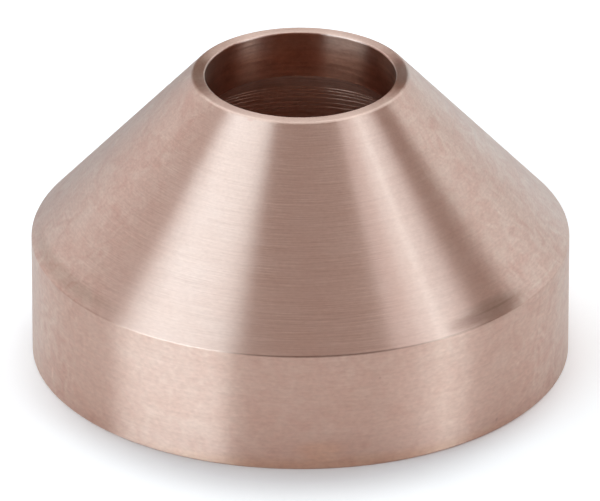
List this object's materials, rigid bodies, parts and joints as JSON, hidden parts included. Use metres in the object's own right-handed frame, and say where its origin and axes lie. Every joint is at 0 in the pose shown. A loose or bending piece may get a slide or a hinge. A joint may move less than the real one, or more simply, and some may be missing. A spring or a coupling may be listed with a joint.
{
  "type": "plasma shield cap",
  "caption": "Turned copper cap with a short band, a conical nose and an open front orifice, which screws over the tip of a plasma torch.",
  "frame": {"origin": "centre of the base face, on the turning axis", "axes": "+Z along the turning axis, from the torch end to the front rim; X and Y are alike"},
  "size_m": [0.026, 0.026, 0.0146],
  "materials": {
    "turned_copper": "bare copper, satin, with fine turning marks round the axis"
  },
  "bodies": {
    "root": {"shield_cap": "turned_copper"}
  },
  "joints": []
}
